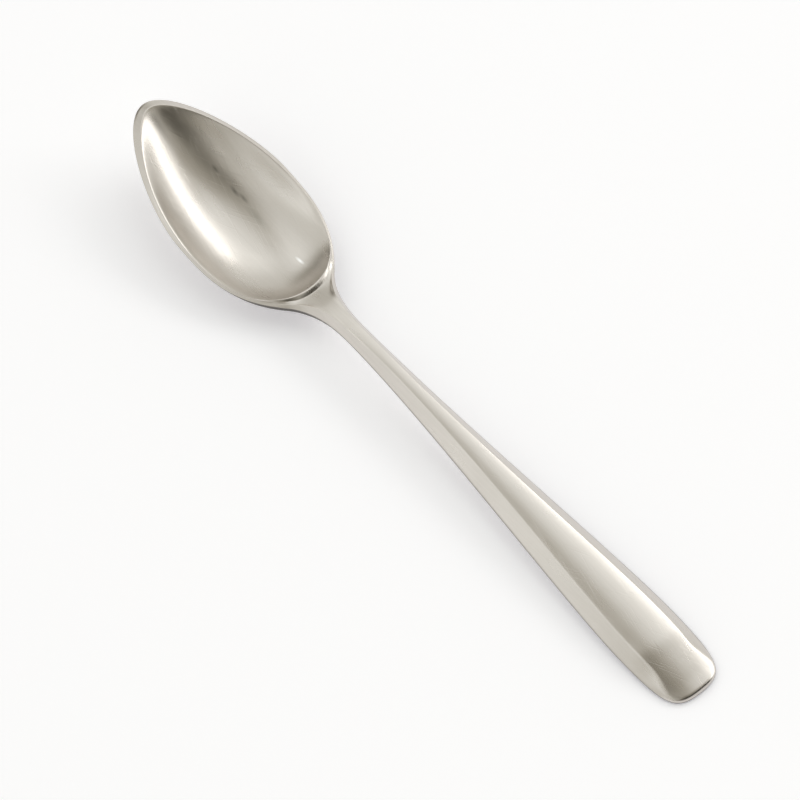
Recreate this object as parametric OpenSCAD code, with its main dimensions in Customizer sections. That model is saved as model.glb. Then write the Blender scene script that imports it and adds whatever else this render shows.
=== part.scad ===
// Dessert spoon, forged from one piece of stainless steel.
// It lies as it rests on a table: on the bottom of its bowl and on the end of its handle.
// +X runs from the bowl's tip to the handle's end, +Z is up, and the origin is on the table
// under the middle of the spoon's length.

/* [Overall] */
// Length from the bowl's tip to the handle's end
spoon_len = 180; // [172:1:195]
// Height of the tip's edge above the table
tip_h = 13.9; // [11:0.1:16]
// Height of the bowl's outer edge at its lowest place
rim_h = 5.2; // [4.6:0.1:6]
// Distance from the tip to that lowest place
rim_low_at = 52; // [48:0.5:55]
// Height of the neck's side edge
neck_h = 6.1; // [5.2:0.1:8]
// Length over which the neck's crest bends down into the handle
neck_bend = 16; // [8:1:30]

/* [Bowl outline] */
// Outer width of the bowl
bowl_w = 30.6; // [27:0.2:34]
// Distance from the tip to the widest place
bowl_widest = 30; // [27:0.5:33]
// Fullness of the tip, across the spoon
tip_full = 7.3; // [5.5:0.1:9]
// Fullness of the sides ahead of the widest place
side_full = 10.8; // [8:0.1:14]
// Fullness of the sides behind the widest place
hip_full = 7.8; // [6:0.1:11]
// Distance from the tip to the shoulders, where the outline turns hollow
shoulder_at = 55.6; // [54.5:0.1:57]
// Width at the shoulders
shoulder_w = 14.4; // [12.5:0.1:16]
// Angle of the outline at the shoulders, from the spoon's length
shoulder_angle = 42; // [36:1:48]
// Fullness of the outline ahead of the shoulders
shoulder_full = 12.6; // [9:0.1:13]

/* [Bowl mouth] */
// Flat rim at the tip, outer edge to mouth
rim_tip = 2.2; // [1.4:0.1:3]
// Rim at the sides, outer edge to mouth
rim_side = 0.9; // [0.8:0.05:1.6]
// Distance from the tip to the mouth's heel
mouth_len = 56.6; // [55:0.1:58]
// Fullness of the mouth's tip
mouth_tip_full = 4.4; // [3:0.1:6]
// Fullness of the mouth's heel
mouth_heel_full = 9.2; // [7.5:0.1:10.5]
// Rise of the rim from its bevel to the mouth
rim_rise = 0.3; // [0:0.05:0.6]
// Step from the mouth's lip up to the neck
heel_step = 0.9; // [0:0.1:1.4]
// Width of the thin lip behind the mouth's heel
lip_w = 0.4; // [0.2:0.05:0.8]

/* [Bowl hollow] */
// Distance from the tip to the deepest place
deepest_at = 40; // [37:0.5:43]
// Wall thickness at the deepest place
wall = 1.3; // [1:0.05:1.8]
// Radius of the bowl's bottom along the spoon
bottom_r_along = 60; // [54:1:90]
// Radius of the bowl's bottom across the spoon
bottom_r_across = 23; // [19:0.5:30]
// Depth of the flank below the edge at the heel
heel_flank = 2.5; // [1:0.1:2.8]

/* [Neck] */
// Distance from the tip to the narrowest place of the neck
neck_at = 70; // [67:0.5:74]
// Width of the neck there
neck_w = 5.2; // [4.6:0.1:7]
// Bevel at the neck, measured across
neck_bevel = 1.35; // [1:0.05:1.6]
// Angle of the bevels at the bowl and the neck, from level
neck_bevel_angle = 57.5; // [50:0.5:62]
// Crown of the neck's top
neck_crown = 0.15; // [0:0.05:0.4]

/* [Handle] */
// Greatest width of the handle
handle_w = 16; // [14:0.2:19]
// Distance from the handle's widest place back to its end
widest_to_end = 17; // [14:0.5:20]
// Bevel of the handle at the widest place, measured across
handle_bevel = 2.8; // [2:0.1:3.6]
// Angle of the bevels at the widest place, from level
handle_bevel_angle = 45; // [38:1:52]
// Crown of the strip between the bevels
handle_crown = 0.7; // [0.2:0.05:1.2]
// Height of the thin edge under the bevels
edge_t = 0.45; // [0.3:0.05:0.8]
// Bevel of the bowl's rim and of the handle's end, measured across
rim_bevel = 0.45; // [0.3:0.05:0.6]
// Flat on the back on which the handle's end rests
foot_len = 3; // [1:0.5:6]
// Squareness of the handle's end
end_full = 6.9; // [5:0.1:7.5]

/* [Hidden] */
STEEL = [0.77, 0.75, 0.72];

// Steps of the outline on one side: tip to widest, to shoulder, to neck, along the handle,
// up to the end's fan, and round the end
TIP_STEPS = 14;
HIP_STEPS = 13;
SHOULDER_STEPS = 9;
HANDLE_STEPS = 42;
LEAD_STEPS = 5;
END_STEPS = 14;
BOWL_N = TIP_STEPS + HIP_STEPS + SHOULDER_STEPS;
FAN_N = BOWL_N + HANDLE_STEPS + LEAD_STEPS;
SIDE_N = FAN_N + END_STEPS;
LOOP_N = 2 * SIDE_N;
// Steps across the handle, from bevel to bevel
CROSS = 12;
HALF = CROSS / 2;
SPOKES = 2 * BOWL_N + CROSS;
HOLLOW_RINGS = 13;
UNDER_RINGS = 14;
// Share of the end curve that has straight ribs across
LEAD_SHARE = 0.25;
// Lengths of the curve handles at the neck and along the handle
NECK_EASE = 10;
SHOULDER_TRAIL = 1.2;
HANDLE_START = 29;
HANDLE_FINISH = 17;
// Handle of the curve from the widest place to the end, as a share of that length
END_SIDE = 0.85;
// Rounding of the rim's sweep up to the tip
RIM_SWEEP = 0.3;
// The bevel starts to widen this far ahead of the rim's lowest place, over this share of the neck
BEVEL_LEAD = 2;
BEVEL_SPAN = 0.8;
// Powers of the laws for the handle's bevel, the end's slope and the back
BEVEL_LAW = 2.5;
END_LAW = 1.3;
BACK_LAW = 6;
// Bevel at the middle of the end, as a multiple of the rim's bevel, and where the corners start
END_LIP = 1.4;
CORNER_FROM = 0.4;
CORNER_SPAN = 0.5;
// Places on the flank's rounding, in degrees below the edge
FLANK_TURNS = [35, 65];
// How far the flank draws in under the edge, elsewhere and at the heel
FLANK_IN = 0.35;
HEEL_FLANK_IN = 1.2;
HEEL_REACH = 13;
// Widest place of the mouth behind that of the bowl, and the mouth's curve handles there
MOUTH_SHIFT = 3.5;
MOUTH_SIDE = 18;
MOUTH_HIP = 12.2;
RING_LAW = 1.25;
// Step behind the lip: its width, the distance over which it fades in, and the shelf behind it
STEP_W = 1.2;
STEP_FADE = 4;
SHELF_REACH = 7.2;
// Wall at the heel, the length over which it turns into the neck, and its rounding there
HEEL_WALL = 2.4;
HEEL_BLEND = 8;
HEEL_ROUND = 1.5;

widest_at = spoon_len - widest_to_end;
foot_at = spoon_len - foot_len;

// General curves

function mix(a, b, k) = a + (b - a) * k;
function clamp01(k) = max(0, min(1, k));
function ease(k) = let(c = clamp01(k)) c * c * (3 - 2 * c);
// Straight ramp from 0 to 1 with a rounded start of the share k
function soft_ramp(u, k) = let(c = clamp01(u)) (sqrt(c * c + k * k) - k) / (sqrt(1 + k * k) - k);
// The lower of two heights, with the corner between them rounded
function lower(a, b, round) =
    let(h = max(0, round - abs(a - b)) / round) min(a, b) - round * h * h / 4;
// Smooth hump that is 1 at 0 and falls to 0 at 1 and -1
function hump(u) = abs(u) < 1 ? pow(1 - u * u, 2) : 0;
function bezier(p, t) =
    pow(1 - t, 3) * p[0] + 3 * pow(1 - t, 2) * t * p[1] + 3 * (1 - t) * t * t * p[2] + pow(t, 3) * p[3];

// Outline seen from above, on the +Y side, as [distance from the tip, half width]

shoulder_way = [cos(shoulder_angle), -sin(shoulder_angle)];
shoulder = [shoulder_at, shoulder_w / 2];
widest = [bowl_widest, bowl_w / 2];
neck = [neck_at, neck_w / 2];
broadest = [widest_at, handle_w / 2];

TIP_CURVE = [[0, 0], [0, tip_full], widest - [side_full, 0], widest];
HIP_CURVE = [widest, widest + [hip_full, 0], shoulder - shoulder_full * shoulder_way, shoulder];
SHOULDER_CURVE = [shoulder, shoulder + SHOULDER_TRAIL * shoulder_way, neck - [NECK_EASE, 0], neck];
HANDLE_CURVE = [neck, neck + [HANDLE_START, 0], broadest - [HANDLE_FINISH, 0], broadest];
END_CURVE = [broadest, broadest + [END_SIDE * widest_to_end, 0], [spoon_len, end_full], [spoon_len, 0]];

SIDE = [
    for (i = [0 : TIP_STEPS - 1]) bezier(TIP_CURVE, i / TIP_STEPS),
    for (i = [0 : HIP_STEPS - 1]) bezier(HIP_CURVE, i / HIP_STEPS),
    for (i = [0 : SHOULDER_STEPS - 1]) bezier(SHOULDER_CURVE, i / SHOULDER_STEPS),
    for (i = [0 : HANDLE_STEPS - 1]) bezier(HANDLE_CURVE, i / HANDLE_STEPS),
    for (i = [0 : LEAD_STEPS - 1]) bezier(END_CURVE, LEAD_SHARE * i / LEAD_STEPS),
    for (i = [0 : END_STEPS]) bezier(END_CURVE, mix(LEAD_SHARE, 1, i / END_STEPS)),
];
OUTLINE = [
    for (j = [0 : LOOP_N - 1]) j <= SIDE_N ? SIDE[j] : [SIDE[LOOP_N - j][0], -SIDE[LOOP_N - j][1]]];

// Direction square to the outline, pointing into the spoon
function inward(j) =
    let(d = OUTLINE[(j + 1) % LOOP_N] - OUTLINE[(j + LOOP_N - 1) % LOOP_N]) [d[1], -d[0]] / norm(d);

// Laws along the spoon, for a distance s from the tip

// Share of the way from the neck to the handle's widest place
function handle_share(s) = clamp01((s - neck_at) / (widest_at - neck_at));
// Height of the outer edge
function edge_h(s) =
    s < rim_low_at ? mix(rim_h, tip_h, soft_ramp(1 - s / rim_low_at, RIM_SWEEP)) :
    s < neck_at ? mix(rim_h, neck_h, ease((s - rim_low_at) / (neck_at - rim_low_at))) :
    mix(neck_h, edge_t, soft_ramp((s - neck_at) / (foot_at - neck_at), neck_bend / (foot_at - neck_at)));
// Width of the bevel, across
function bevel_w(s) =
    let(neck_share = (s - rim_low_at + BEVEL_LEAD) / (BEVEL_SPAN * (neck_at - rim_low_at)))
    s < neck_at ? mix(rim_bevel, neck_bevel, ease(neck_share)) :
    mix(neck_bevel, handle_bevel, 1 - pow(1 - handle_share(s), BEVEL_LAW));
// Height of the bevel's upper crease over the edge
function bevel_h(s) = bevel_w(s) * tan(mix(neck_bevel_angle, handle_bevel_angle, handle_share(s)));
function top_h(s) = edge_h(s) + bevel_h(s);
function crown_h(s) = mix(neck_crown, handle_crown, handle_share(s));
// Flank under the edge: deep at the heel, thin elsewhere
function heel_share(s) = hump((s - mouth_len) / HEEL_REACH);
function flank_h(s) = mix(edge_t, heel_flank, heel_share(s));
function back_h(s) = edge_h(s) - flank_h(s);
function flank_in(s) = mix(FLANK_IN, HEEL_FLANK_IN, heel_share(s));

// Handle's end: its top falls in a soft slope behind the last straight rib

end_rib = SIDE[FAN_N];
fan_crease = end_rib + bevel_w(end_rib[0]) * inward(FAN_N);
fan_top = top_h(end_rib[0]) + crown_h(end_rib[0]);
end_lip = END_LIP * rim_bevel;
end_fall = fan_top - edge_t - end_lip;
// Bevel that narrows round the end's corner
function end_bevel(y) =
    mix(end_lip, handle_bevel, ease((abs(y) / (handle_w / 2) - CORNER_FROM) / CORNER_SPAN));
// Height of the top behind the last straight rib
function end_top(p) =
    fan_top - crown_h(p[0]) * pow(p[1] / fan_crease[1], 2)
    - end_fall * pow(clamp01((p[0] - fan_crease[0]) / (spoon_len - end_lip - fan_crease[0])), END_LAW);

function in_fan(j) = j > FAN_N && j < LOOP_N - FAN_N;
function crease(j) =
    let(p = OUTLINE[j], s = p[0], w = in_fan(j) ? end_bevel(p[1]) : bevel_w(s), c = p + w * inward(j))
    [c[0], c[1], in_fan(j) ? end_top(c) : top_h(s)];
function edge(j) = [OUTLINE[j][0], OUTLINE[j][1], edge_h(OUTLINE[j][0])];
function flank(j, turn) =
    let(s = OUTLINE[j][0], p = OUTLINE[j] + flank_in(s) * (1 - cos(turn)) * inward(j))
    [p[0], p[1], edge_h(s) - flank_h(s) * sin(turn)];

// Rings of points that run all round the spoon, from the bevel's crease down to the back
CREASE = [for (j = [0 : LOOP_N - 1]) crease(j)];
EDGE = [for (j = [0 : LOOP_N - 1]) edge(j)];
FLANKS = [for (turn = FLANK_TURNS) [for (j = [0 : LOOP_N - 1]) flank(j, turn)]];
UNDER = FLANKS[len(FLANKS) - 1];
BAND = [CREASE, (CREASE + EDGE) / 2, EDGE, each FLANKS];

// Handle: ribs across, between the two creases on top and between the two flanks below

// Place i of CROSS steps across, from 1 at the +Y side to -1
function across(i) = 1 - 2 * i / CROSS;
function top_rib(j) = [
    for (i = [1 : CROSS - 1]) let(c = CREASE[j], q = across(i))
        [c[0], c[1] * q, c[2] + crown_h(OUTLINE[j][0]) * (1 - q * q)]];
function back_rib(j) = [
    for (i = [1 : CROSS - 1]) let(c = UNDER[j], q = across(i))
        [c[0], c[1] * q, mix(back_h(c[0]), c[2], pow(abs(q), BACK_LAW))]];
TOP_RIBS = [for (j = [BOWL_N : FAN_N]) top_rib(j)];
BACK_RIBS = [for (j = [BOWL_N : FAN_N]) back_rib(j)];

// Handle's end: ribs that fan out from the middle of the last straight rib
top_root = TOP_RIBS[FAN_N - BOWL_N][HALF - 1];
back_root = BACK_RIBS[FAN_N - BOWL_N][HALF - 1];
FAN_TOP = [
    for (j = [FAN_N + 1 : LOOP_N - FAN_N - 1]) [
        for (i = [1 : HALF - 1]) let(p = mix(top_root, CREASE[j], i / HALF)) [p[0], p[1], end_top(p)]]];
FAN_BACK = [
    for (j = [FAN_N + 1 : LOOP_N - FAN_N - 1]) [
        for (i = [1 : HALF - 1]) let(c = UNDER[j], p = mix(back_root, c, i / HALF))
            [p[0], p[1], mix(back_h(p[0]), c[2], pow(i / HALF, BACK_LAW))]]];

// Bowl: spokes run out from the deepest place to the rim and, at the heel, to the neck

pole = [deepest_at, 0];
RIM = [
    for (j = [0 : BOWL_N]) CREASE[j],
    each TOP_RIBS[0],
    for (j = [LOOP_N - BOWL_N : LOOP_N - 1]) CREASE[j],
];
FOOT = [
    for (j = [0 : BOWL_N]) UNDER[j],
    each BACK_RIBS[0],
    for (j = [LOOP_N - BOWL_N : LOOP_N - 1]) UNDER[j],
];

// Edge of the mouth on the +Y side, from the tip at u = 0 to the heel at u = 2
mouth_widest = [bowl_widest + MOUTH_SHIFT, bowl_w / 2 - rim_side];
MOUTH_TIP = [[rim_tip, 0], [rim_tip, mouth_tip_full], mouth_widest - [MOUTH_SIDE, 0], mouth_widest];
MOUTH_HEEL = [mouth_widest, mouth_widest + [MOUTH_HIP, 0], [mouth_len, mouth_heel_full], [mouth_len, 0]];
function mouth(u) = u < 1 ? bezier(MOUTH_TIP, u) : bezier(MOUTH_HEEL, u - 1);
function bearing(p) = atan2(abs(p[1]), p[0] - deepest_at);
// Place on the mouth in the direction of a point, found by halving
function mouth_toward(b, lo = 0, hi = 2, n = 24) =
    let(u = (lo + hi) / 2)
    n == 0 ? mouth(u) :
    bearing(mouth(u)) > b ? mouth_toward(b, u, hi, n - 1) : mouth_toward(b, lo, u, n - 1);
function mouth_radius(p) = norm(mouth_toward(bearing(p)) - pole);
function mouth_h(s) = edge_h(s) + rim_bevel * tan(neck_bevel_angle) + rim_rise * ease(s / bowl_widest);

// Curvature of the bottom in the direction of the unit vector d, half of 1 over the radius
function bottom_bend(d, t) =
    pow(d[0], 2) / (2 * (bottom_r_along + t)) + pow(d[1], 2) / (2 * (bottom_r_across + t));
// Height of a bowl surface at distance r, which is 0 at the pole and h at the distance R
function bowl_rise(r, R, h, bend) = bend * r * r + (h - bend * R * R) * pow(r / R, 4);

function way(p) = let(d = [p[0], p[1]] - pole) d / norm(d);
function at(d, r, z) = [pole[0] + r * d[0], pole[1] + r * d[1], z];

HOLLOW_PLACES = [for (i = [1 : HOLLOW_RINGS]) 1 - pow(1 - i / HOLLOW_RINGS, RING_LAW)];
function hollow_point(p, place) =
    let(d = way(p), R = mouth_radius(p), h = mouth_h(pole[0] + R * d[0]))
    at(d, place * R, wall + bowl_rise(place * R, R, h - wall, bottom_bend(d, 0)));
HOLLOW = [for (place = HOLLOW_PLACES) [for (p = RIM) hollow_point(p, place)]];
MOUTH = HOLLOW[HOLLOW_RINGS - 1];

// Between mouth and rim: a thin lip, a step up to the neck, and the neck's flat top
function shelf_point(m, p, reach, rise) =
    let(g = norm([p[0] - m[0], p[1] - m[1]]), k = reach / (g + reach), s = mix(m[0], p[0], k),
        stepped = m[2] + rise * heel_step * g / (g + STEP_FADE))
    [s, mix(m[1], p[1], k), mix(stepped, top_h(s), rise * (1 - pow(1 - k, 3)))];
SHELF = [
    for (step = [[lip_w, 0], [lip_w + STEP_W / 2, 0.5], [lip_w + STEP_W, 1], [lip_w + SHELF_REACH, 1]])
        [for (i = [0 : SPOKES - 1]) shelf_point(MOUTH[i], RIM[i], step[0], step[1])]];

// Under the bowl the wall sweeps up to the rim, and at the heel it runs out along the neck
function under_point(p, place) =
    let(d = way(p), R = norm([p[0], p[1]] - pole), r = place * R, bend = bottom_bend(d, wall),
        m = mouth_radius(p), side = bowl_rise(r, R, p[2], bend),
        heel = lower(bowl_rise(r, m + HEEL_WALL, rim_h, bend), back_h(pole[0] + r * d[0]), HEEL_ROUND),
        share = ease((R - m - HEEL_WALL) / HEEL_BLEND))
    at(d, r, mix(side, heel, share));
UNDERSIDE = [
    for (i = [UNDER_RINGS - 1 : -1 : 1]) [for (p = FOOT) under_point(p, i / UNDER_RINGS)]];

// All points in one list, with the place where each group starts

POINTS = [
    for (ring = BAND) each ring,
    for (rib = TOP_RIBS) each rib,
    for (rib = BACK_RIBS) each rib,
    for (rib = FAN_TOP) each rib,
    for (rib = FAN_BACK) each rib,
    for (ring = HOLLOW) each ring,
    for (ring = SHELF) each ring,
    for (ring = UNDERSIDE) each ring,
    [pole[0], 0, wall],
    [pole[0], 0, 0],
];
TOP_AT = len(BAND) * LOOP_N;
BACK_AT = TOP_AT + len(TOP_RIBS) * (CROSS - 1);
FAN_TOP_AT = BACK_AT + len(BACK_RIBS) * (CROSS - 1);
FAN_BACK_AT = FAN_TOP_AT + len(FAN_TOP) * (HALF - 1);
HOLLOW_AT = FAN_BACK_AT + len(FAN_BACK) * (HALF - 1);
SHELF_AT = HOLLOW_AT + len(HOLLOW) * SPOKES;
UNDERSIDE_AT = SHELF_AT + len(SHELF) * SPOKES;
POLE_AT = UNDERSIDE_AT + len(UNDERSIDE) * SPOKES;

// Strip of faces between two rows of point numbers; a pair that shares a point gives a triangle
function strip(a, b) = [
    for (i = [0 : len(a) - 2])
        a[i] == b[i] ? [a[i], a[i + 1], b[i + 1]] : [a[i], a[i + 1], b[i + 1], b[i]]];
function closed(row) = [each row, row[0]];
function band_row(k) = [for (j = [0 : LOOP_N - 1]) k * LOOP_N + j];
function rib_row(start, k, j) = [
    k * LOOP_N + j,
    for (i = [0 : CROSS - 2]) start + (j - BOWL_N) * (CROSS - 1) + i,
    k * LOOP_N + LOOP_N - j,
];
function bowl_edge(start, k) = [
    for (j = [0 : BOWL_N]) k * LOOP_N + j,
    for (i = [0 : CROSS - 2]) start + i,
    for (j = [LOOP_N - BOWL_N : LOOP_N - 1]) k * LOOP_N + j,
];
function bowl_row(start, i) = [for (n = [0 : SPOKES - 1]) start + i * SPOKES + n];
// Row from the fan's root out to the band, for the ribs from the last straight one on +Y to that on -Y
function fan_row(start, fan_start, k, j) =
    let(last = rib_row(start, k, FAN_N), root = last[HALF])
    j == FAN_N ? [for (i = [HALF : -1 : 0]) last[i]] :
    j == LOOP_N - FAN_N ? [for (i = [HALF : CROSS]) last[i]] :
    [root, for (i = [0 : HALF - 2]) fan_start + (j - FAN_N - 1) * (HALF - 1) + i, k * LOOP_N + j];

BOTTOM = len(BAND) - 1;
BOWL_ROWS = [
    for (i = [0 : len(HOLLOW) - 1]) bowl_row(HOLLOW_AT, i),
    for (i = [0 : len(SHELF) - 1]) bowl_row(SHELF_AT, i),
    bowl_edge(TOP_AT, 0),
];
UNDER_ROWS = [
    bowl_edge(BACK_AT, BOTTOM),
    for (i = [0 : len(UNDERSIDE) - 1]) bowl_row(UNDERSIDE_AT, i),
];
last_under = UNDER_ROWS[len(UNDER_ROWS) - 1];
FACES = [
    for (k = [0 : BOTTOM - 1]) each strip(closed(band_row(k + 1)), closed(band_row(k))),
    for (j = [BOWL_N : FAN_N - 1]) each strip(rib_row(TOP_AT, 0, j + 1), rib_row(TOP_AT, 0, j)),
    for (j = [BOWL_N : FAN_N - 1])
        each strip(rib_row(BACK_AT, BOTTOM, j), rib_row(BACK_AT, BOTTOM, j + 1)),
    for (j = [FAN_N : LOOP_N - FAN_N - 1])
        each strip(fan_row(TOP_AT, FAN_TOP_AT, 0, j), fan_row(TOP_AT, FAN_TOP_AT, 0, j + 1)),
    for (j = [FAN_N : LOOP_N - FAN_N - 1])
        each strip(fan_row(BACK_AT, FAN_BACK_AT, BOTTOM, j + 1), fan_row(BACK_AT, FAN_BACK_AT, BOTTOM, j)),
    for (i = [0 : len(BOWL_ROWS) - 2]) each strip(closed(BOWL_ROWS[i + 1]), closed(BOWL_ROWS[i])),
    for (i = [0 : len(UNDER_ROWS) - 2]) each strip(closed(UNDER_ROWS[i + 1]), closed(UNDER_ROWS[i])),
    for (n = [0 : SPOKES - 1]) [BOWL_ROWS[0][n], BOWL_ROWS[0][(n + 1) % SPOKES], POLE_AT],
    for (n = [0 : SPOKES - 1]) [last_under[(n + 1) % SPOKES], last_under[n], POLE_AT + 1],
];

module spoon() {
    color(STEEL)
        translate([-spoon_len / 2, 0, 0])
            polyhedron(points = POINTS, faces = FACES, convexity = 6);
}

spoon();
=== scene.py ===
# Dessert spoon of satin stainless steel, lying on a white table under a long soft lamp.
# Metres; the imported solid's frame: +X from the bowl's tip to the handle's end, +Z up.
import math

import bmesh
import bpy
from mathutils import Matrix, Quaternion, Vector


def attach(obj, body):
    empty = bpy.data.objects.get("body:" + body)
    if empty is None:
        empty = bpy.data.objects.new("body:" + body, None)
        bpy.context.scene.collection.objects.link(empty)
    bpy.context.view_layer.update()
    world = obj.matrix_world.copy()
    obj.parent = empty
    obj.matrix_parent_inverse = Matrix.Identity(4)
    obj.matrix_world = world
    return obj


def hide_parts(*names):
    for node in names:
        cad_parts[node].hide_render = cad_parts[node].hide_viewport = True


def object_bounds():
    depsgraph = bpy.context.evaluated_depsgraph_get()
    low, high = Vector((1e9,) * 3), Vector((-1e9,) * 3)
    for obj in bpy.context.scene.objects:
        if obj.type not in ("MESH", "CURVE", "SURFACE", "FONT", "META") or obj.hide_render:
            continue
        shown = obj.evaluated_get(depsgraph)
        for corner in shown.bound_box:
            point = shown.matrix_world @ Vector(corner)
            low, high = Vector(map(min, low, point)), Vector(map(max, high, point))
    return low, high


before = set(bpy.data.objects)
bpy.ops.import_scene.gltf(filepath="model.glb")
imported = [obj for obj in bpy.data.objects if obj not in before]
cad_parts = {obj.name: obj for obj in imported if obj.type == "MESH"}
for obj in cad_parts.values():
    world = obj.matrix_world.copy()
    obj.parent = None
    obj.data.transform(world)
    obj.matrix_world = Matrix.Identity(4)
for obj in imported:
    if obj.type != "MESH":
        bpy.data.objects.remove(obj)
solid_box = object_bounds()

MM = 0.001


def linear(hex_colour, alpha=1.0):
    """An sRGB hex colour as the linear numbers that a node takes."""
    parts = [int(hex_colour[i:i + 2], 16) / 255 for i in (1, 3, 5)]
    return tuple(c / 12.92 if c <= 0.04045 else ((c + 0.055) / 1.055) ** 2.4 for c in parts) + (alpha,)


def add_node(tree, kind, links=None, **settings):
    """A node of the tree with its settings; links maps its inputs to outputs or plain values."""
    node = tree.nodes.new(kind)
    for name, value in settings.items():
        setattr(node, name, value)
    for socket, source in (links or {}).items():
        if isinstance(source, bpy.types.NodeSocket):
            tree.links.new(source, node.inputs[socket])
        else:
            node.inputs[socket].default_value = source
    return node


# Sockets of a Mix node that mixes colours, by number, because its other kinds share their names
COLOUR_A, COLOUR_B, COLOUR_RESULT = 6, 7, 2


def empty_tree(owner):
    owner.use_nodes = True
    owner.node_tree.nodes.clear()
    return owner.node_tree


# Camera: 1 m away, 60 degrees above the table, with the handle at 45 degrees in the picture

TOWARD_CAMERA = Vector((0.37796, -0.32733, 0.86603))
PICTURE_RIGHT = Vector((0.65465, 0.75593, 0.0))
PICTURE_UP = TOWARD_CAMERA.cross(PICTURE_RIGHT)
AIM = -3.028 * MM * PICTURE_RIGHT + 1.417 * MM * PICTURE_UP
CAMERA_DISTANCE = 1.0
LENS_MM, SENSOR_MM = 211.5, 36

camera = bpy.data.objects.new("camera", bpy.data.cameras.new("camera"))
bpy.context.scene.collection.objects.link(camera)
camera.data.lens = LENS_MM
camera.data.sensor_width = SENSOR_MM
turn = Matrix((PICTURE_RIGHT, PICTURE_UP, TOWARD_CAMERA)).transposed().to_4x4()
camera.matrix_world = Matrix.Translation(AIM + CAMERA_DISTANCE * TOWARD_CAMERA) @ turn
bpy.context.scene.camera = camera
bpy.context.scene.view_settings.view_transform = "Standard"


# Steel, with lengths in millimetres

# Length, width and depth of the brush lines, which are wider than the real ones so that they show,
# of the slow waves of the polishing, and of the hairlines
BRUSH_LONG, BRUSH_WIDE, BRUSH_DEEP = 14, 0.28, 0.005
WAVE_LONG, WAVE_WIDE, WAVE_DEEP = 15, 5, 0.02
HAIR_LONG, HAIR_WIDE, HAIR_DEEP = 9, 0.25, -0.006
# Height of all the streaks
STREAK_HIGH = 4
# Turns of the hairlines against the spoon, in radians, and the noise from which they are cut
HAIR_TURNS = 0.5, -0.25
HAIR_FROM, HAIR_FULL = 0.70, 0.76
ROUGH_LEAST, ROUGH_MOST = 0.26, 0.32
# Spots in the bowl: place, half width and colour. The first four tint the steel greyer; the last, white
# one is a painted highlight, a glint near the heel
BOWL_SPOTS_AND_GLINT = [
    ((-71.0, 4.2, 5.8), 0.4, "#a5a29c"),
    ((-64.8, 4.5, 3.8), 0.55, "#989590"),
    ((-62.4, 5.0, 3.3), 0.5, "#a29f99"),
    ((-57.3, 4.4, 2.3), 1.1, "#bcb8b1"),
    # painted highlight: a white spot that stands in for a glint
    ((-42.6, 4.3, 2.4), 0.45, "#ffffff"),
]
# Length and height of a mark for each unit of its width
MARK_LONG, MARK_HIGH = 4, 2
# Values of the edge's attribute between which the steel darkens: painted shade on the outer edge and its
# flank
EDGE_SHADE_FROM, EDGE_SHADE_FULL = 0.35, 0.55


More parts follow.
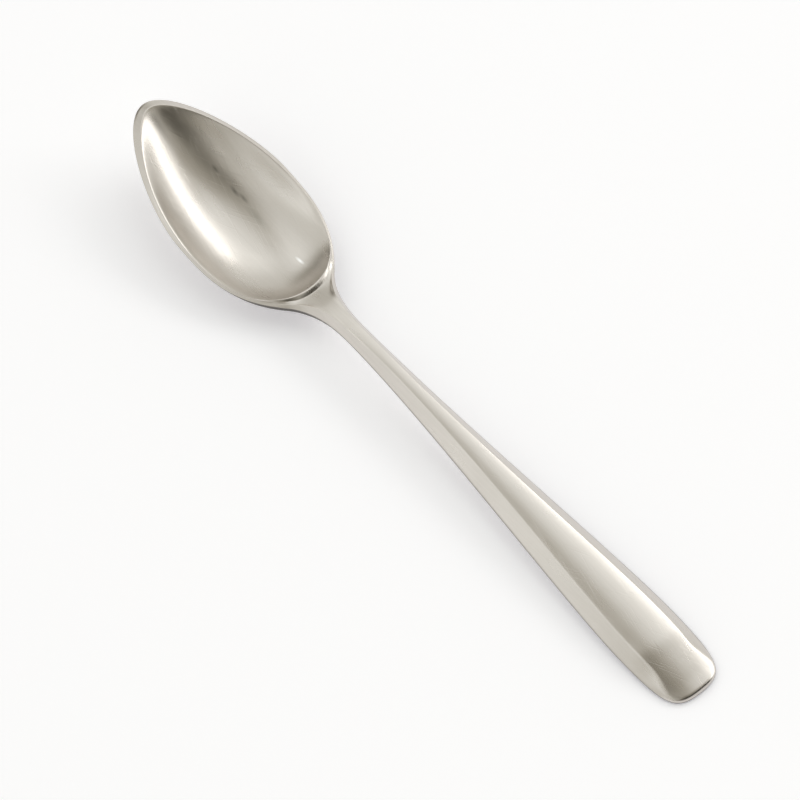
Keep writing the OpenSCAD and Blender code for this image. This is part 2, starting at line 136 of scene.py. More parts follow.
def satin_steel():
    """Stainless steel 18/10, stamped, ground and brushed to a satin along its length. The eye sees
    warm grey metal with soft, slightly wavy reflections, fine lines, a few hairline scratches and
    grey specks, a white spot in the bowl that is a painted highlight, and painted shade on the edge."""
    material = bpy.data.materials.new("satin_stainless_steel")
    tree = empty_tree(material)
    place = add_node(tree, "ShaderNodeTexCoord").outputs["Object"]

    def streaks(length, width, turned, detail):
        """Noise drawn out along the spoon, or at an angle to it."""
        drawn = add_node(tree, "ShaderNodeMapping", {
            "Vector": place, "Rotation": (0, 0, turned),
            "Scale": (length * MM, width * MM, STREAK_HIGH * MM)}, vector_type="TEXTURE")
        noise = {"Vector": drawn.outputs[0], "Scale": 1.0, "Detail": detail}
        return add_node(tree, "ShaderNodeTexNoise", noise).outputs["Fac"]

    def ramp(value, low, high, at_low, at_high):
        return add_node(tree, "ShaderNodeMapRange", {
            "Value": value, "From Min": low, "From Max": high,
            "To Min": at_low, "To Max": at_high}).outputs[0]

    def blend(k, a, b):
        mixed = {"Factor": k, COLOUR_A: a, COLOUR_B: b}
        return add_node(tree, "ShaderNodeMix", mixed, data_type="RGBA").outputs[COLOUR_RESULT]

    brush = streaks(BRUSH_LONG, BRUSH_WIDE, 0.0, 3.0)
    waves = streaks(WAVE_LONG, WAVE_WIDE, 0.0, 2.0)
    hairs = [
        ramp(streaks(HAIR_LONG, HAIR_WIDE, turned, 0.0), HAIR_FROM, HAIR_FULL, 0.0, 1.0)
        for turned in HAIR_TURNS]

    colour = blend(brush, linear("#cac5be"), linear("#d5cfc9"))
    # Spots tint the colour; the white one paints a highlight into it
    for spot, size, shade in BOWL_SPOTS_AND_GLINT:
        about = add_node(tree, "ShaderNodeMapping", {
            "Vector": place, "Location": MM * Vector(spot),
            "Scale": (MARK_LONG * MM, MM, MARK_HIGH * MM)}, vector_type="TEXTURE")
        away = add_node(tree, "ShaderNodeVectorMath", {0: about.outputs[0]}, operation="LENGTH")
        colour = blend(ramp(away.outputs["Value"], 0.0, size, 1.0, 0.0), colour, linear(shade))
    # Painted shade: the outer edge and its flank darkened toward a dark brown grey
    edge_shade_mask = add_node(tree, "ShaderNodeAttribute", attribute_name="edge_painted_shade").outputs["Fac"]
    colour = blend(ramp(edge_shade_mask, EDGE_SHADE_FROM, EDGE_SHADE_FULL, 0.0, 1.0), colour, linear("#5e5a54"))

    # Height of the ridges, the waves and the hairlines together
    height = 0.0
    reliefs = (brush, BRUSH_DEEP), (waves, WAVE_DEEP), (hairs[0], HAIR_DEEP), (hairs[1], HAIR_DEEP)
    for source, depth in reliefs:
        scaled = {0: source, 1: depth, 2: height}
        height = add_node(tree, "ShaderNodeMath", scaled, operation="MULTIPLY_ADD").outputs[0]
    relief = add_node(tree, "ShaderNodeBump", {"Strength": 1.0, "Distance": MM, "Height": height})
    steel = add_node(tree, "ShaderNodeBsdfPrincipled", {
        "Base Color": colour, "Metallic": 1.0,
        "Roughness": ramp(waves, 0.3, 0.7, ROUGH_LEAST, ROUGH_MOST), "Normal": relief.outputs[0]})
    add_node(tree, "ShaderNodeOutputMaterial", {"Surface": steel.outputs[0]})
    return material


# Form of the spoon, in millimetres: s runs from the bowl's tip to the handle's end, y across and z
# up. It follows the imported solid, and makes the rim, the heel and the handle's end more sharply.

SPOON_LEN = (solid_box[1][0] - solid_box[0][0]) / MM
BOWL_W = (solid_box[1][1] - solid_box[0][1]) / MM

# Heights of the outer edge: at the tip, at its lowest place and at the neck, the length over which
# the neck bends down, and how softly the rim starts to rise toward the tip
TIP_H = 13.9
RIM_H, RIM_LOW_AT = 5.2, 52
NECK_H, NECK_BEND = 6.1, 16
RIM_SWEEP = 0.3

# Outline of the bowl: widest place, fullness at the tip, sides and hips, and the shoulders, with
# the straight run from a shoulder into the neck's curve
BOWL_WIDEST = 30
TIP_FULL, SIDE_FULL, HIP_FULL = 7.3, 10.8, 7.8
SHOULDER_AT, SHOULDER_W, SHOULDER_ANGLE, SHOULDER_FULL = 55.6, 14.4, 42, 12.6
SHOULDER_TRAIL = 1.2

# Mouth of the bowl: rim's width at the tip and sides, the heel's place, its fullness at both ends,
# how far its widest place lies behind the bowl's, and its fullness before and behind that
RIM_TIP, RIM_SIDE = 2.3, 0.9
MOUTH_LEN = 55.8
MOUTH_TIP_FULL, MOUTH_HEEL_FULL = 4.4, 10.2
MOUTH_SHIFT, MOUTH_SIDE, MOUTH_HIP = 3.5, 18, 12.2
# Slope of the rim from the outer edge up to the mouth
RIM_SLOPE = 30
# How far the rounding of the mouth's edge lies below the corner
MOUTH_ROUND = 0.18
# Heel: the mouth's rise over the rim, the thin lip, the drop behind it, which fades out where the
# rim is narrow, and the flat facet, which banks up to the bevels at its sides
HEEL_RISE, HEEL_FROM = 0.75, 46
LIP_W = 0.35
HEEL_DROP, DROP_W, DROP_FADE = 0.7, 0.8, 1.8
FACET_ANGLE, FACET_ROUND = 19, 0.35
BANK_REACH = 9
# Steps over the facet, and the shares of a narrow rim that the steps before them take, at the sides
# and at the heel
FACET_STEPS = [0.6, 2.4, 3.9, 5.1, 7]
SIDE_SHARES, HEEL_SHARES = (0.38, 0.46, 0.52), (0.12, 0.3, 0.45)

# Hollow: deepest place, wall there, and radii of the bottom along and across the spoon; its rings
# draw together toward the mouth by the law
DEEPEST_AT, WALL = 40, 1.3
BOTTOM_R_ALONG, BOTTOM_R_ACROSS = 60, 23
RING_LAW = 1.25
# Flank under the edge: its depth and how far it draws in, each at the heel and elsewhere, how far
# the heel's flank reaches both ways, and the turns of the rounding, in degrees
HEEL_FLANK, EDGE_T = 2.5, 0.45
HEEL_FLANK_IN, FLANK_IN = 1.2, 0.35
HEEL_REACH = 13
FLANK_TURNS = [35, 65]
# Underside of the heel: the wall, the length over which it turns into the neck, and the rounding
HEEL_WALL, HEEL_BLEND, HEEL_ROUND = 2.4, 8, 1.5

# Neck and handle: width, width and angle of the bevels, slope of the crowned top at its sides
NECK_AT, NECK_W, NECK_BEVEL, NECK_BEVEL_ANGLE, NECK_CROWN = 70, 5.2, 1.35, 57.5, 4
HANDLE_W, HANDLE_BEVEL, HANDLE_BEVEL_ANGLE, HANDLE_CROWN = 16, 2.8, 45, 15
# Widest place of the handle, and the front of the small flat foot that it lies on
WIDEST_AT = SPOON_LEN - 17
FOOT_AT = SPOON_LEN - 3
# Fullness of the outline before and behind the neck, and before the widest place
NECK_EASE, HANDLE_START, HANDLE_FINISH = 10, 29, 17
# The rim's bevel, the share of the way to the neck over which it widens, and how much sooner it
# steepens
RIM_BEVEL, BEVEL_SPAN, STEEPEN = 0.45, 0.78, 1.6
# How early the handle's top spreads, and how flat the back stays before it turns up to the flank
SPREAD_LAW, BACK_LAW = 2.5, 6
# Handle's end: squareness, and the flat facet on top with its rounded start
END_SIDE, END_FULL = 0.85, 6.9
END_FACET, END_FACET_ANGLE, END_ROUND = 13, 9.5, 0.7
# The lip that the bevels narrow to, where they do so behind the widest place, and where the lip is
# rounded between crease and edge
END_LIP = 0.54
CORNER_FROM, CORNER_SPAN, CORNER_ROUND = 7.5, 7.5, 0.3
LIP_OUT, LIP_DOWN = 0.7, 0.3

# Steps of the outline on one side: to the widest place, the shoulder, the neck, along the handle,
# up to the end's fan, which starts at the lead's share of the end's curve, and round the end
TIP_STEPS, HIP_STEPS, SHOULDER_STEPS, HANDLE_STEPS, LEAD_STEPS, END_STEPS = 14, 13, 9, 42, 5, 14
BOWL_N = TIP_STEPS + HIP_STEPS + SHOULDER_STEPS
FAN_N = BOWL_N + HANDLE_STEPS + LEAD_STEPS
SIDE_N = FAN_N + END_STEPS
LOOP_N = 2 * SIDE_N
LEAD_SHARE = 0.25
# Steps across the handle, and rings of the hollow and of the underside
CROSS = 12
HALF = CROSS // 2
HOLLOW_RINGS, UNDER_RINGS = 13, 14


def mix(a, b, k):
    return a + (b - a) * k


def clamp01(k):
    return max(0.0, min(1.0, k))


def ease(k):
    c = clamp01(k)
    return c * c * (3 - 2 * c)


def soft_ramp(u, k):
    """Straight ramp from 0 to 1 with a rounded start of the share k."""
    c = clamp01(u)
    return (math.hypot(c, k) - k) / (math.hypot(1, k) - k)


def lower(a, b, round_by):
    """The lower of two heights, with the corner between them rounded."""
    h = max(0.0, round_by - abs(a - b)) / round_by
    return min(a, b) - round_by * h * h / 4


def slope(degrees):
    return math.tan(math.radians(degrees))


def bezier(p, t):
    return (1 - t) ** 3 * p[0] + 3 * (1 - t) ** 2 * t * p[1] + 3 * (1 - t) * t * t * p[2] + t ** 3 * p[3]


# Outline seen from above

def along_x(length):
    return Vector((length, 0))


def outline():
    """Points round the spoon, from the tip along the +Y side to the end and back."""
    a = math.radians(SHOULDER_ANGLE)
    shoulder_way = Vector((math.cos(a), -math.sin(a)))
    tip, end = Vector((0, 0)), Vector((SPOON_LEN, 0))
    widest = Vector((BOWL_WIDEST, BOWL_W / 2))
    shoulder = Vector((SHOULDER_AT, SHOULDER_W / 2))
    neck = Vector((NECK_AT, NECK_W / 2))
    broadest = Vector((WIDEST_AT, HANDLE_W / 2))
    curves = [
        (TIP_STEPS, [tip, Vector((0, TIP_FULL)), widest - along_x(SIDE_FULL), widest]),
        (HIP_STEPS, [
            widest, widest + along_x(HIP_FULL), shoulder - SHOULDER_FULL * shoulder_way, shoulder]),
        (SHOULDER_STEPS, [
            shoulder, shoulder + SHOULDER_TRAIL * shoulder_way, neck - along_x(NECK_EASE), neck]),
        (HANDLE_STEPS, [
            neck, neck + along_x(HANDLE_START), broadest - along_x(HANDLE_FINISH), broadest]),
    ]
    end_side = along_x(END_SIDE * (SPOON_LEN - WIDEST_AT))
    end_curve = [broadest, broadest + end_side, end + Vector((0, END_FULL)), end]
    side = [bezier(curve, i / steps) for steps, curve in curves for i in range(steps)]
    side += [bezier(end_curve, LEAD_SHARE * i / LEAD_STEPS) for i in range(LEAD_STEPS)]
    side += [bezier(end_curve, mix(LEAD_SHARE, 1, i / END_STEPS)) for i in range(END_STEPS + 1)]
    return side + [Vector((p.x, -p.y)) for p in side[SIDE_N - 1:0:-1]]


OUTLINE = outline()


def inward(j):
    """Direction square to the outline, pointing into the spoon."""
    d = OUTLINE[(j + 1) % LOOP_N] - OUTLINE[j - 1]
    return Vector((d.y, -d.x)).normalized()


# Laws along the spoon, for a distance s from the tip

def handle_share(s):
    return clamp01((s - NECK_AT) / (WIDEST_AT - NECK_AT))


def spread(s):
    """How far the top has spread on the way from the neck to the handle's widest place."""
    return 1 - (1 - handle_share(s)) ** SPREAD_LAW


def edge_h(s):
    """Height of the outer edge."""
    if s < RIM_LOW_AT:
        return mix(RIM_H, TIP_H, soft_ramp(1 - s / RIM_LOW_AT, RIM_SWEEP))
    if s < NECK_AT:
        return mix(RIM_H, NECK_H, ease((s - RIM_LOW_AT) / (NECK_AT - RIM_LOW_AT)))
    down = FOOT_AT - NECK_AT
    return mix(NECK_H, EDGE_T, soft_ramp((s - NECK_AT) / down, NECK_BEND / down))


def bevel_share(s):
    return (s - RIM_LOW_AT) / (BEVEL_SPAN * (NECK_AT - RIM_LOW_AT))


def lip_share(s):
    return soft_ramp((s - WIDEST_AT - CORNER_FROM) / CORNER_SPAN, CORNER_ROUND)


def bevel_w(s):
    if s < NECK_AT:
        return mix(RIM_BEVEL, NECK_BEVEL, ease(bevel_share(s)))
    return mix(mix(NECK_BEVEL, HANDLE_BEVEL, spread(s)), END_LIP, lip_share(s))


def bevel_h(s):
    if s < NECK_AT:
        return bevel_w(s) * slope(mix(RIM_SLOPE, NECK_BEVEL_ANGLE, ease(STEEPEN * bevel_share(s))))
    angle = mix(NECK_BEVEL_ANGLE, HANDLE_BEVEL_ANGLE, handle_share(s))
    return mix(NECK_BEVEL, HANDLE_BEVEL, spread(s)) * slope(angle)


def facet_fall(s):
    """Fall of the end's facet below the line of the top."""
    u, r = s - SPOON_LEN + END_FACET, END_ROUND
    return slope(END_FACET_ANGLE) * (0 if u < -r else u if u > r else (u + r) ** 2 / (4 * r))


def top_h(s):
    return edge_h(s) + bevel_h(s) - facet_fall(s)


def crown_h(s, half):
    """Rise of the crowned top over its creases, where it is twice the given half wide."""
    return half * slope(mix(NECK_CROWN, HANDLE_CROWN, spread(s))) / 2


def heel_share(s):
    u = (s - MOUTH_LEN) / HEEL_REACH
    return (1 - u * u) ** 2 if abs(u) < 1 else 0.0


def flank_h(s):
    return mix(EDGE_T, HEEL_FLANK, heel_share(s))


def back_h(s):
    return edge_h(s) - flank_h(s)


def heel_form(s):
    return ease((s - HEEL_FROM) / (MOUTH_LEN - HEEL_FROM))


def mouth_h(s, g):
    """Height of the mouth's edge, inside a rim of the width g."""
    return edge_h(s) + RIM_BEVEL * slope(RIM_SLOPE) + mix(g * slope(RIM_SLOPE), HEEL_RISE, heel_form(s))


# Rings that run all round the spoon, from the bevel's crease down to the back

END_RIB = OUTLINE[FAN_N]
FAN_CREASE = END_RIB + bevel_w(END_RIB.x) * inward(FAN_N)
FAN_CROWN = crown_h(END_RIB.x, FAN_CREASE.y)


def end_top(p):
    return top_h(p.x) + FAN_CROWN * (1 - (p.y / FAN_CREASE.y) ** 2)


def crease_point(j):
    p = OUTLINE[j]
    c = p + bevel_w(p.x) * inward(j)
    in_fan = FAN_N < j < LOOP_N - FAN_N
    return Vector((c.x, c.y, end_top(c) if in_fan else top_h(c.x if p.x > WIDEST_AT else p.x)))


def edge_point(j):
    return Vector((*OUTLINE[j], edge_h(OUTLINE[j].x)))


def middle_point(j):
    share = lip_share(OUTLINE[j].x)
    c, e = crease_point(j), edge_point(j)
    place = mix(c, e, mix(0.5, LIP_OUT, share))
    return Vector((place.x, place.y, mix(c.z, e.z, mix(0.5, LIP_DOWN, share))))


def flank_point(j, turn_down):
    s, a = OUTLINE[j].x, math.radians(turn_down)
    p = OUTLINE[j] + mix(FLANK_IN, HEEL_FLANK_IN, heel_share(s)) * (1 - math.cos(a)) * inward(j)
    return Vector((p.x, p.y, edge_h(s) - flank_h(s) * math.sin(a)))


# Bowl: spokes run out from the deepest place to the rim and, at the heel, to the neck

POLE = Vector((DEEPEST_AT, 0))
MOUTH_WIDEST = Vector((BOWL_WIDEST + MOUTH_SHIFT, BOWL_W / 2 - RIM_SIDE))
MOUTH_TIP = [
    Vector((RIM_TIP, 0)), Vector((RIM_TIP, MOUTH_TIP_FULL)),
    MOUTH_WIDEST - along_x(MOUTH_SIDE), MOUTH_WIDEST]
MOUTH_HEEL = [
    MOUTH_WIDEST, MOUTH_WIDEST + along_x(MOUTH_HIP),
    Vector((MOUTH_LEN, MOUTH_HEEL_FULL)), Vector((MOUTH_LEN, 0))]


def bearing(p):
    return math.atan2(abs(p.y), p.x - DEEPEST_AT)


def mouth_radius(p):
    """Distance from the deepest place to the mouth in the direction of a point, found by halving."""
    low, high = 0.0, 2.0
    for _ in range(24):
        u = (low + high) / 2
        m = bezier(MOUTH_TIP, u) if u < 1 else bezier(MOUTH_HEEL, u - 1)
        low, high = (u, high) if bearing(m) > bearing(p) else (low, u)
    return (m - POLE).length


def bottom_bend(d, t):
    """Curvature of the bottom in the direction of the unit vector d, half of 1 over the radius."""
    return d.x ** 2 / (2 * (BOTTOM_R_ALONG + t)) + d.y ** 2 / (2 * (BOTTOM_R_ACROSS + t))


def bowl_rise(r, reach, h, bend):
    """Height of a bowl surface at distance r, which is 0 at the pole and h at the reach."""
    return bend * r * r + (h - bend * reach * reach) * (r / reach) ** 4


def hollow_spoke(p):
    """Points from near the pole out to the mouth, on the spoke to a point of the rim."""
    d = (p.xy - POLE).normalized()
    reach = mouth_radius(p)
    h = mouth_h(POLE.x + reach * d.x, (p.xy - POLE).length - reach)
    spoke = []
    for i in range(1, HOLLOW_RINGS + 1):
        r = reach * (1 - (1 - i / HOLLOW_RINGS) ** RING_LAW)
        place = POLE + r * d
        spoke.append(Vector((*place, WALL + bowl_rise(r, reach, h - WALL, bottom_bend(d, 0)))))
    return spoke


FOOT_OF_FACET = MOUTH_LEN + LIP_W + DROP_W


def facet_h(s):
    low = mouth_h(MOUTH_LEN, 0) - HEEL_DROP
    return lower(low + slope(FACET_ANGLE) * max(0.0, s - FOOT_OF_FACET), top_h(s), FACET_ROUND)


def shelf_spoke(m, p):
    """Points between mouth and rim: a thin lip, a drop behind it, and a facet up to the neck's top."""
    shares = [mix(a, b, heel_form(m.x)) for a, b in zip(SIDE_SHARES, HEEL_SHARES)]
    drops = 0.0, 0.5, 1.0
    steps = [(LIP_W + drop * DROP_W, share, drop) for share, drop in zip(shares, drops)]
    for i, step in enumerate(FACET_STEPS):
        steps.append((LIP_W + DROP_W + step, mix(0.5, 0.95, (i + 0.5) / len(FACET_STEPS)), 1.0))
    g = (p.xy - m.xy).length
    spoke = []
    for wanted, share, drop in steps:
        # A step takes its wanted distance, and less where the rim is narrow
        k = wanted / (1 + (wanted / (share * g)) ** 4) ** 0.25 / g
        place = mix(m.xy, p.xy, k)
        s = place.x
        fade = drop * heel_form(s) * g * g / (g * g + DROP_FADE * DROP_FADE)
        plain = mix(m.z, p.z, mix(1, drop, heel_form(s)) * k)
        bank = (p.z - facet_h(p.x)) * ease(1 - 2 * (1 - k) / min(1, g / BANK_REACH))
        spoke.append(Vector((*place, mix(plain, facet_h(s) + bank, fade))))
    return spoke


def under_spoke(p):
    """Points under the bowl, from the foot of the flank in to the pole."""
    d = (p.xy - POLE).normalized()
    reach, m = (p.xy - POLE).length, mouth_radius(p)
    bend = bottom_bend(d, WALL)
    share = ease((reach - m - HEEL_WALL) / HEEL_BLEND)
    spoke = []
    for i in range(UNDER_RINGS - 1, 0, -1):
        r = reach * i / UNDER_RINGS
        place = POLE + r * d
        heel = lower(bowl_rise(r, m + HEEL_WALL, RIM_H, bend), back_h(place.x), HEEL_ROUND)
        spoke.append(Vector((*place, mix(bowl_rise(r, reach, p.z, bend), heel, share))))
    return spoke


# Skin: rows of points joined by strips of faces

points = []


def row(new_points):
    """Adds points to the skin and returns their numbers."""
    points.extend(new_points)
    return list(range(len(points) - len(new_points), len(points)))


def strips(rows, around=False):
    """Faces between rows of point numbers; a pair that shares a point gives a triangle."""
    faces = []
    for a, b in zip(rows, rows[1:]):
        if around:
            a, b = a + a[:1], b + b[:1]
        for i in range(len(a) - 1):
            start = [a[i]] if a[i] == b[i] else [a[i], b[i]]
            faces.append(start + [b[i + 1], a[i + 1]])
    return faces


def rib(crease_at, height):
    """Points across the handle between a crease and its twin on the other side."""
    shares = [1 - 2 * i / CROSS for i in range(1, CROSS)]
    return [Vector((crease_at.x, crease_at.y * q, height(q))) for q in shares]


band = [row([make(j) for j in range(LOOP_N)]) for make in (crease_point, middle_point, edge_point)]
band += [row([flank_point(j, turn_down) for j in range(LOOP_N)]) for turn_down in FLANK_TURNS]
crease_ring, under_ring = band[0], band[-1]

straight = range(BOWL_N, FAN_N + 1)
top_ribs, back_ribs = {}, {}
for j in straight:
    c, u = points[crease_ring[j]], points[under_ring[j]]
    rise = crown_h(OUTLINE[j].x, c.y)
    top_ribs[j] = row(rib(c, lambda q: c.z + rise * (1 - q * q)))
    back_ribs[j] = row(rib(u, lambda q: mix(back_h(u.x), u.z, abs(q) ** BACK_LAW)))

# Round the end the ribs fan out from the middle of the last straight rib
top_root, back_root = top_ribs[FAN_N][HALF - 1], back_ribs[FAN_N][HALF - 1]
top_fan, back_fan = {}, {}
for j in range(FAN_N + 1, LOOP_N - FAN_N):
    c, u = points[crease_ring[j]], points[under_ring[j]]
    spots = [mix(points[top_root], c, i / HALF) for i in range(1, HALF)]
    top_fan[j] = row([Vector((p.x, p.y, end_top(p))) for p in spots])
    spots = [(i / HALF, mix(points[back_root], u, i / HALF)) for i in range(1, HALF)]
    back_fan[j] = row([Vector((p.x, p.y, mix(back_h(p.x), u.z, k ** BACK_LAW))) for k, p in spots])


def handle_row(ring, ribs, j):
    return [ring[j]] + ribs[j] + [ring[LOOP_N - j]]


def bowl_row(ring, ribs):
    return ring[:BOWL_N + 1] + ribs[BOWL_N] + ring[LOOP_N - BOWL_N:]


def fan_rows(ring, ribs, fan):
    """Rows from the fan's root out to the band, from the last straight rib on +Y to that on -Y."""
    last = handle_row(ring, ribs, FAN_N)
    inner = [[last[HALF]] + fan[j] + [ring[j]] for j in range(FAN_N + 1, LOOP_N - FAN_N)]
    return [last[HALF::-1]] + inner + [last[HALF:]]


rim_row, foot_row = bowl_row(crease_ring, top_ribs), bowl_row(under_ring, back_ribs)
hollow = [hollow_spoke(points[n]) for n in rim_row]
shelf = [shelf_spoke(spoke[-1], points[n]) for spoke, n in zip(hollow, rim_row)]
for spoke in hollow:
    spoke[-1].z -= MOUTH_ROUND * (1 - heel_form(spoke[-1].x))
under = [under_spoke(points[n]) for n in foot_row]
hollow_rows = [row(list(ring)) for ring in zip(*hollow)]
bowl_rows = hollow_rows + [row(list(ring)) for ring in zip(*shelf)] + [rim_row]
under_rows = [foot_row] + [row(list(ring)) for ring in zip(*under)]
inner_pole, outer_pole = row([Vector((*POLE, WALL)), Vector((*POLE, 0))])

faces = strips(band[::-1], around=True)
faces += strips([handle_row(crease_ring, top_ribs, j) for j in straight][::-1])
faces += strips([handle_row(under_ring, back_ribs, j) for j in straight])
faces += strips(fan_rows(crease_ring, top_ribs, top_fan))
faces += strips(fan_rows(under_ring, back_ribs, back_fan)[::-1])
faces += strips(bowl_rows[::-1], around=True)
faces += strips(under_rows[::-1], around=True)
innermost, lowest = bowl_rows[0], under_rows[-1]
faces += [[inner_pole, innermost[(i + 1) % len(innermost)], n] for i, n in enumerate(innermost)]
faces += [[outer_pole, n, lowest[(i + 1) % len(lowest)]] for i, n in enumerate(lowest)]

skin = bpy.data.meshes.new("spoon_skin")
skin.from_pydata([MM * (p - Vector((SPOON_LEN / 2, 0, 0))) for p in points], [], faces)
spoon = bpy.data.objects.new("spoon_skin", skin)
bpy.context.scene.collection.objects.link(spoon)

# Painted shade on the outer edge and the flank under it: the steel there is darkened in place of the
# dark reflection of the table in the spoon's shadow
OUTER_EDGE_SHADE = 0.45
edge_painted_shade = skin.attributes.new("edge_painted_shade", "FLOAT", "POINT")
for ring, share in (band[2], OUTER_EDGE_SHADE), (band[3], 1.0), (band[4], 1.0):
    for n in ring:
        edge_painted_shade.data[n].value = share

# Edges at which the faces turn keep their corner when the skin is rounded; the mouth's edge is
# polished round, but for the heel's lip
SHARP_FROM = math.radians(14)
SHARP_FULL = math.radians(40)
SHARPNESS, MOUTH_SHARPNESS = 0.8, 0.15
ROUNDING_LEVELS = 2
mouth_edge = set(hollow_rows[-1])

mesh = bmesh.new()
mesh.from_mesh(skin)
crease = mesh.edges.layers.float.new("crease_edge")
for e in mesh.edges:
    bend = e.calc_face_angle(0.0)
    sharpness = SHARPNESS
    if all(v.index in mouth_edge for v in e.verts):
        sharpness = mix(MOUTH_SHARPNESS, SHARPNESS, heel_form(e.verts[0].co.x / MM + SPOON_LEN / 2))
    e[crease] = sharpness * clamp01((bend - SHARP_FROM) / (SHARP_FULL - SHARP_FROM))
mesh.to_mesh(skin)
mesh.free()

bpy.ops.object.select_all(action="DESELECT")
spoon.select_set(True)
bpy.context.view_layer.objects.active = spoon
rounding = spoon.modifiers.new("rounding", "SUBSURF")
rounding.levels = rounding.render_levels = ROUNDING_LEVELS
bpy.ops.object.modifier_apply(modifier=rounding.name)
bpy.ops.object.shade_smooth()
spoon.data.materials.append(satin_steel())

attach(spoon, "root")
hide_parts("spoon")


# Table: matt white, larger than anything that the spoon reflects

TABLE_SIDE = 12
bpy.ops.mesh.primitive_plane_add(size=TABLE_SIDE, location=(0, 0, 0))
table = bpy.context.view_layer.objects.active
table.name = "table"
paper = bpy.data.materials.new("matt_white_paper")
tree = empty_tree(paper)
# The camera and the steel's reflections see the paper glow up to white; its shadow stays
GLOW = 0.29
path = add_node(tree, "ShaderNodeLightPath").outputs
glow = 0.0
for ray in ("Is Camera Ray", "Is Glossy Ray", "Is Transmission Ray"):
    more = {0: path[ray], 1: GLOW, 2: glow}
    glow = add_node(tree, "ShaderNodeMath", more, operation="MULTIPLY_ADD").outputs[0]
sheet = add_node(tree, "ShaderNodeBsdfDiffuse", {"Color": linear("#f4f4f4")})
shine = add_node(tree, "ShaderNodeEmission", {"Color": linear("#f5f4fe"), "Strength": glow})
both = add_node(tree, "ShaderNodeAddShader", {0: sheet.outputs[0], 1: shine.outputs[0]})
add_node(tree, "ShaderNodeOutputMaterial", {"Surface": both.outputs[0]})
table.data.materials.append(paper)


# Light: a pale room with soft dark places, and a long soft lamp on the +Y side

def direction(azimuth, elevation):
    """Unit vector from the spoon; azimuth 0 is +X and 90 is +Y."""
    a, e = math.radians(azimuth), math.radians(elevation)
    return Vector((math.cos(a) * math.cos(e), math.sin(a) * math.cos(e), math.sin(e)))


ROOM_LEVEL = 0.87
DARKEST = 0.05
# Soft patches of the room: azimuth, elevation, inner and outer radius in degrees, change of level
PATCHES = [
    (110, 60, 1, 30, 0.70),
    (-20, 26, 23, 35, -0.52),
    (73, 78, 28, 34, -0.44),
    (-89, 21, 3, 37, -1.00),
    (-95, 22, 24, 30, 0.89),
    (177, 10, 1, 28, -1.00),
    (23, 19, 22, 28, -1.00),
]
# Strip overhead: the normal of its plane, its half width as a sine, and its change of level from
# -X to +X
STRIP_NORMAL = Vector((0.163, 1.0, 0.224)).normalized()
STRIP_INNER, STRIP_OUTER = 0.013, 0.322
STRIP_FADE = -0.35, 0.5
STRIP_CHANGE = 0.36, -0.71

room = bpy.data.worlds.new("pale_room")
bpy.context.scene.world = room
tree = empty_tree(room)
way = add_node(tree, "ShaderNodeTexCoord").outputs["Generated"]

level = ROOM_LEVEL
for azimuth, elevation, inner, outer, change in PATCHES:
    toward = add_node(tree, "ShaderNodeVectorMath", {
        0: way, 1: direction(azimuth, elevation)}, operation="DOT_PRODUCT")
    patch = add_node(tree, "ShaderNodeMapRange", {
        "Value": toward.outputs["Value"], "From Min": math.cos(math.radians(outer)),
        "From Max": math.cos(math.radians(inner)), "To Min": 0.0, "To Max": change},
        interpolation_type="SMOOTHSTEP")
    level = add_node(tree, "ShaderNodeMath", {0: level, 1: patch.outputs[0]}, operation="ADD").outputs[0]

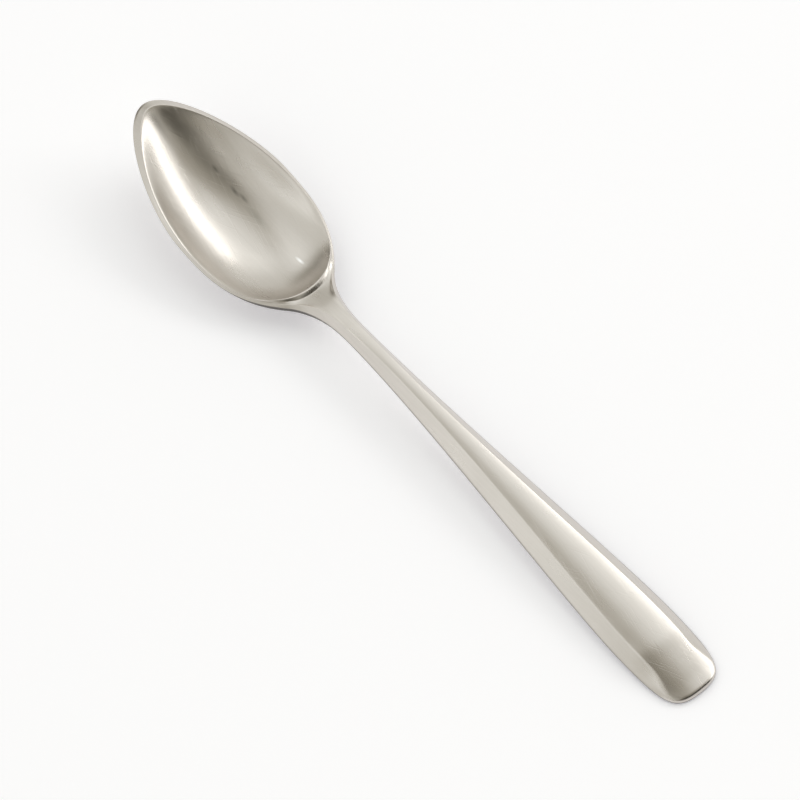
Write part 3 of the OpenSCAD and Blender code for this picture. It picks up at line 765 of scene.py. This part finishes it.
side = add_node(tree, "ShaderNodeVectorMath", {0: way, 1: STRIP_NORMAL}, operation="DOT_PRODUCT")
off = add_node(tree, "ShaderNodeMath", {0: side.outputs["Value"]}, operation="ABSOLUTE")
in_strip = add_node(tree, "ShaderNodeMapRange", {
    "Value": off.outputs[0], "From Min": STRIP_INNER, "From Max": STRIP_OUTER,
    "To Min": 1.0, "To Max": 0.0}, interpolation_type="SMOOTHSTEP")
along = add_node(tree, "ShaderNodeSeparateXYZ", {0: way})
change = add_node(tree, "ShaderNodeMapRange", {
    "Value": along.outputs["X"], "From Min": STRIP_FADE[0], "From Max": STRIP_FADE[1],
    "To Min": STRIP_CHANGE[0], "To Max": STRIP_CHANGE[1]})
strip = add_node(tree, "ShaderNodeMath", {
    0: in_strip.outputs[0], 1: change.outputs[0]}, operation="MULTIPLY")
total = add_node(tree, "ShaderNodeMath", {0: level, 1: strip.outputs[0]}, operation="ADD")
total = add_node(tree, "ShaderNodeMath", {0: total.outputs[0], 1: DARKEST}, operation="MAXIMUM")
# The dark places are warm, the pale walls almost white
hue = add_node(tree, "ShaderNodeMix", {
    "Factor": total.outputs[0], COLOUR_A: linear("#fff4d6"), COLOUR_B: linear("#fdfffd")},
    data_type="RGBA")
air = add_node(tree, "ShaderNodeBackground", {
    "Color": hue.outputs[COLOUR_RESULT], "Strength": total.outputs[0]})
add_node(tree, "ShaderNodeOutputWorld", {"Surface": air.outputs[0]})

# The lamp's direction, its turn about it, the halves of its length and height as the spoon sees
# them, in degrees, and its distance in metres
LAMP_WAY = direction(81.3, 31.9)
LAMP_TILT = 15.7
LAMP_HALF_LONG, LAMP_HALF_HIGH = 27.7, 8.1
LAMP_DISTANCE = 2.5
LAMP_LONG = 2 * LAMP_DISTANCE * slope(LAMP_HALF_LONG)
LAMP_HIGH = 2 * LAMP_DISTANCE * slope(LAMP_HALF_HIGH)
LAMP_RADIANCE = 2.2

lamp = bpy.data.objects.new("long_lamp", bpy.data.lights.new("long_lamp", "AREA"))
bpy.context.scene.collection.objects.link(lamp)
lamp.data.shape = "RECTANGLE"
lamp.data.size, lamp.data.size_y = LAMP_LONG, LAMP_HIGH
lamp.data.energy = LAMP_RADIANCE * math.pi * LAMP_LONG * LAMP_HIGH
lamp.location = LAMP_DISTANCE * LAMP_WAY
lamp.rotation_mode = "QUATERNION"
about_way = Quaternion((0, 0, 1), math.radians(LAMP_TILT))
lamp.rotation_quaternion = LAMP_WAY.to_track_quat("Z", "Y") @ about_way
